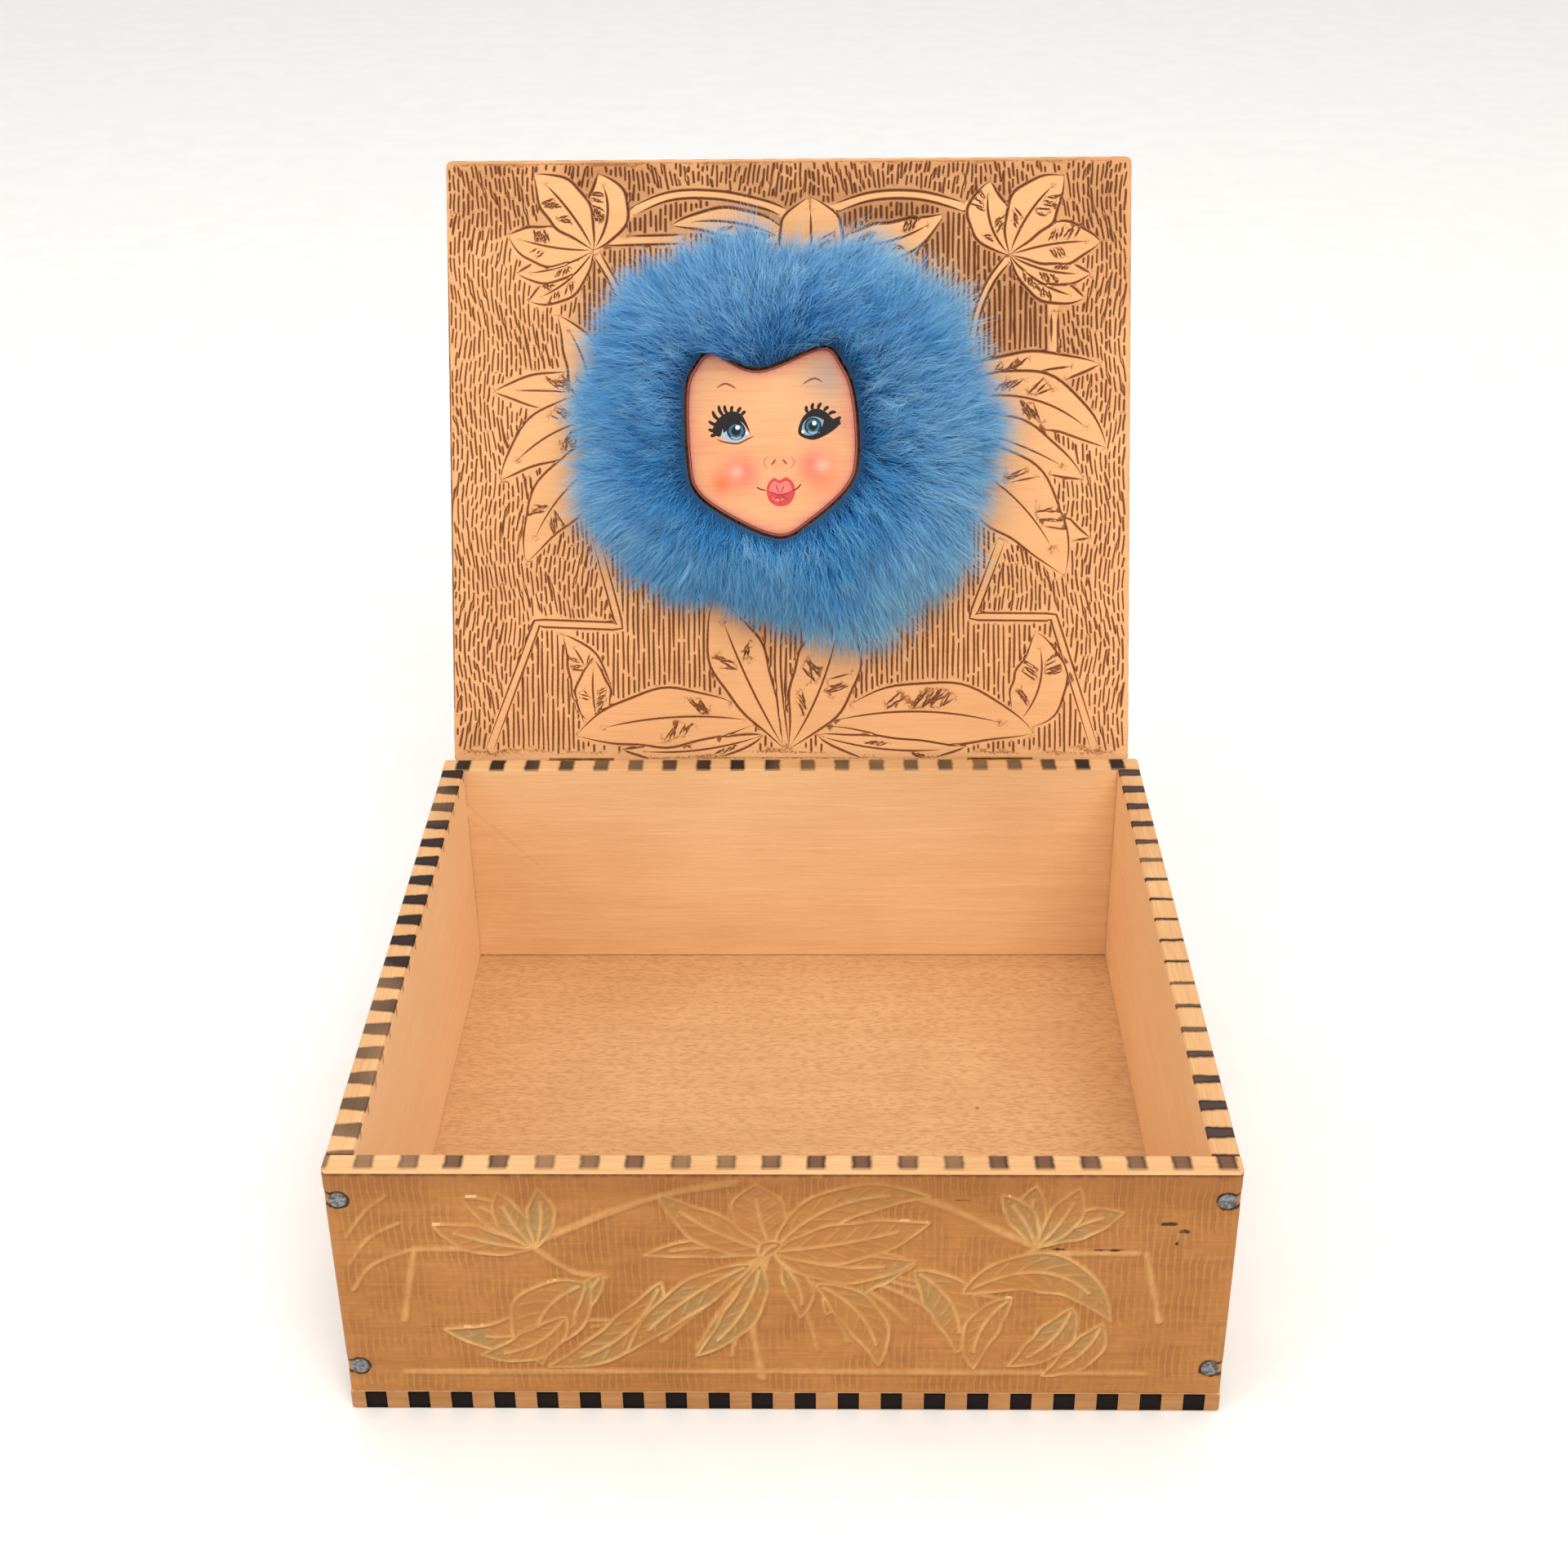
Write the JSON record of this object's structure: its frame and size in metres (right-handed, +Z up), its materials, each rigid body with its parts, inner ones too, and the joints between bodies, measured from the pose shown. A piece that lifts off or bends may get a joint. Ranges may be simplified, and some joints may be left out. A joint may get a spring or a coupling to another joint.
{
  "type": "hinged keepsake box",
  "caption": "Pyrographed wooden keepsake box whose hinged lid carries a painted doll face in a ring of dyed fur.",
  "frame": {"origin": "centre of the bottom board's underside, which the box rests on", "axes": "+X to the box's right as seen from the front, +Y from the front panel to the hinges, +Z up"},
  "size_m": [0.204, 0.2544, 0.2323],
  "materials": {
    "basswood": "bare wood with burned marks, thin clear finish",
    "embossed_basswood": "pressed and burned relief, amber shellac, worn",
    "nail_steel": "dull, lightly rusted",
    "pin_steel": "dull drawn wire",
    "hinge_brass": "aged, dull",
    "hide_leather": "flesh side of a dyed hide",
    "dyed_fur": "long soft pile, sky blue",
    "painted_wood": "satin artist's paint"
  },
  "bodies": {
    "box": {"front_panel": "embossed_basswood", "back_panel": "basswood", "left_side": "basswood", "right_side": "basswood", "bottom_board": "basswood", "front_nails": "nail_steel", "back_nails": "nail_steel", "bottom_nails": "nail_steel", "box_hinge_tacks": "hinge_brass", "left_hinge_box_leaf": "hinge_brass", "right_hinge_box_leaf": "hinge_brass", "left_hinge_pin": "pin_steel", "right_hinge_pin": "pin_steel"},
    "lid": {"lid_board": "basswood", "left_hinge_lid_leaf": "hinge_brass", "right_hinge_lid_leaf": "hinge_brass", "lid_hinge_tacks": "hinge_brass", "fur_hide": "hide_leather", "fur_pile": "dyed_fur", "face_plaque": "painted_wood"}
  },
  "joints": [
    {"name": "lid_hinge", "type": "hinge", "parent": "box", "child": "lid", "pos_m": [0, 0.0888, 0.07], "axis": [1, 0, 0], "range_deg": [-69, 113]}
  ]
}
